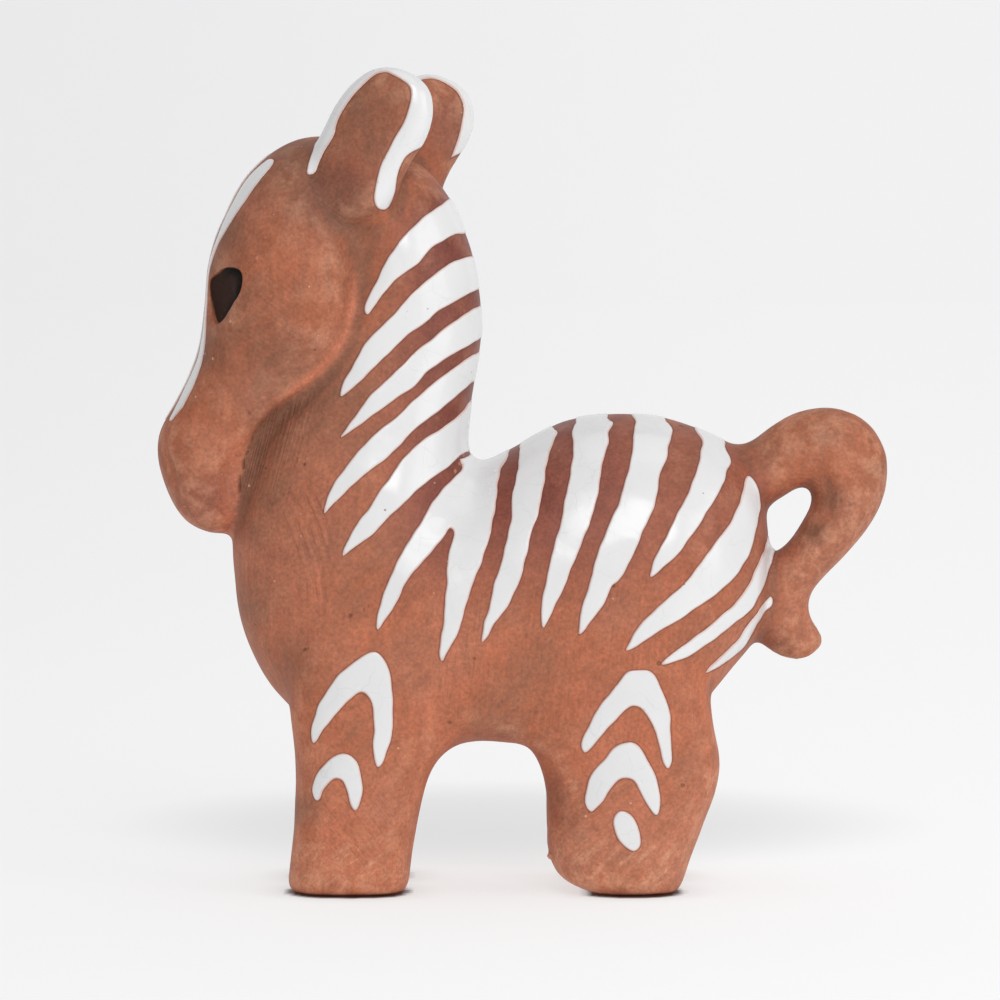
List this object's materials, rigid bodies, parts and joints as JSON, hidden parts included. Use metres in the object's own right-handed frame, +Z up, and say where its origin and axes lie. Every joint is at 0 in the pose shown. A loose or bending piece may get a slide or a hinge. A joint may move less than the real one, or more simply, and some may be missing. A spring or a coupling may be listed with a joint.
{
  "type": "zebra figurine",
  "caption": "Stub-legged zebra foal figurine in bare red earthenware with raised white glaze stripes and a curled tail.",
  "frame": {"origin": "on the floor, under the middle of the figure's bounding box", "axes": "the muzzle points to -X, the left flank faces -Y, +Z is up"},
  "size_m": [0.1342, 0.047, 0.1501],
  "materials": {
    "terracotta": "matte",
    "white_glaze": "gloss"
  },
  "bodies": {
    "root": {"zebra": "terracotta"}
  },
  "joints": []
}
